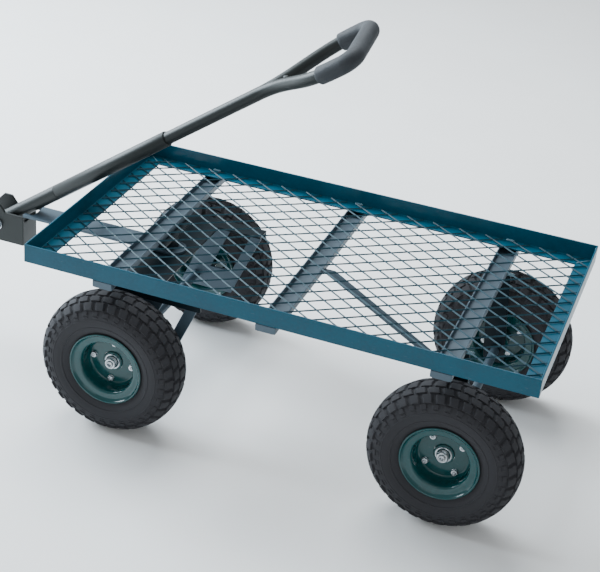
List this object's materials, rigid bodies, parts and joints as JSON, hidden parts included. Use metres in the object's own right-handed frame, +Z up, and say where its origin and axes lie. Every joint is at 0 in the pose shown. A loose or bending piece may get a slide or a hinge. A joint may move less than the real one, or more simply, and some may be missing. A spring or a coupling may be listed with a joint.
{
  "type": "garden cart",
  "caption": "Flat garden cart: a mesh deck in an angle-iron frame on pneumatic wheels, steered by its front axle with a long pivoting handle that ends in a loop grip.",
  "frame": {"origin": "middle of the whole cart's footprint, on the ground under the tyres", "axes": "+Z up; -X is the way the cart is drawn, so the handle's pivot is at the -X end; -Y is the cart's left side"},
  "size_m": [1.062, 0.486, 0.7102],
  "materials": {
    "teal_paint": "satin blue-green paint over welded steel",
    "slate_paint": "satin slate-blue paint over steel",
    "black_enamel": "glossy black enamel",
    "black_foam": "closed-cell foam, matt",
    "tyre_rubber": "matt treaded rubber",
    "rim_paint": "glossy dark green enamel",
    "zinc": "bright zinc plating"
  },
  "bodies": {
    "deck": {"rail_left": "teal_paint", "rail_right": "teal_paint", "rail_front": "teal_paint", "rail_rear": "teal_paint", "deck_mesh": "teal_paint", "cross_front": "teal_paint", "cross_middle": "teal_paint", "cross_rear": "teal_paint", "rear_hanger_left": "teal_paint", "rear_hanger_right": "teal_paint", "rear_axle": "zinc", "rear_axle_nut_left": "zinc", "rear_axle_nut_right": "zinc", "rear_strut": "slate_paint", "king_plate": "slate_paint", "kingpin": "zinc"},
    "front_steering": {"steering_carrier": "slate_paint", "front_hanger_left": "slate_paint", "front_hanger_right": "slate_paint", "front_axle": "zinc", "front_axle_nut_left": "zinc", "front_axle_nut_right": "zinc", "drawbar": "slate_paint", "clevis": "black_enamel", "handle_pin": "zinc", "handle_pin_nut": "zinc"},
    "handle": {"handle_foot": "black_enamel", "handle_lower_tube": "black_enamel", "handle_upper_tube": "black_enamel", "handle_grip": "black_foam"},
    "wheel_fl": {"wheel_fl_tyre": "tyre_rubber", "wheel_fl_rim_outer": "rim_paint", "wheel_fl_rim_inner": "rim_paint", "wheel_fl_bolt_1": "zinc", "wheel_fl_bolt_2": "zinc", "wheel_fl_bolt_3": "zinc", "wheel_fl_bolt_4": "zinc"},
    "wheel_fr": {"wheel_fr_tyre": "tyre_rubber", "wheel_fr_rim_outer": "rim_paint", "wheel_fr_rim_inner": "rim_paint", "wheel_fr_bolt_1": "zinc", "wheel_fr_bolt_2": "zinc", "wheel_fr_bolt_3": "zinc", "wheel_fr_bolt_4": "zinc"},
    "wheel_rl": {"wheel_rl_tyre": "tyre_rubber", "wheel_rl_rim_outer": "rim_paint", "wheel_rl_rim_inner": "rim_paint", "wheel_rl_bolt_1": "zinc", "wheel_rl_bolt_2": "zinc", "wheel_rl_bolt_3": "zinc", "wheel_rl_bolt_4": "zinc"},
    "wheel_rr": {"wheel_rr_tyre": "tyre_rubber", "wheel_rr_rim_outer": "rim_paint", "wheel_rr_rim_inner": "rim_paint", "wheel_rr_bolt_1": "zinc", "wheel_rr_bolt_2": "zinc", "wheel_rr_bolt_3": "zinc", "wheel_rr_bolt_4": "zinc"}
  },
  "joints": [
    {"name": "steering", "type": "hinge", "parent": "deck", "child": "front_steering", "pos_m": [-0.181, 0, 0.25], "axis": [0, 0, 1], "range_deg": [-20, 20]},
    {"name": "handle_pivot", "type": "hinge", "parent": "front_steering", "child": "handle", "pos_m": [-0.509, 0, 0.2216], "axis": [0, -1, 0], "range_deg": [0, 150]},
    {"name": "wheel_fl_spin", "type": "hinge", "parent": "front_steering", "child": "wheel_fl", "pos_m": [-0.181, -0.2015, 0.127], "axis": [0, 1, 0], "continuous": true},
    {"name": "wheel_fr_spin", "type": "hinge", "parent": "front_steering", "child": "wheel_fr", "pos_m": [-0.181, 0.2015, 0.127], "axis": [0, 1, 0], "continuous": true},
    {"name": "wheel_rl_spin", "type": "hinge", "parent": "deck", "child": "wheel_rl", "pos_m": [0.399, -0.2015, 0.127], "axis": [0, 1, 0], "continuous": true},
    {"name": "wheel_rr_spin", "type": "hinge", "parent": "deck", "child": "wheel_rr", "pos_m": [0.399, 0.2015, 0.127], "axis": [0, 1, 0], "continuous": true}
  ]
}
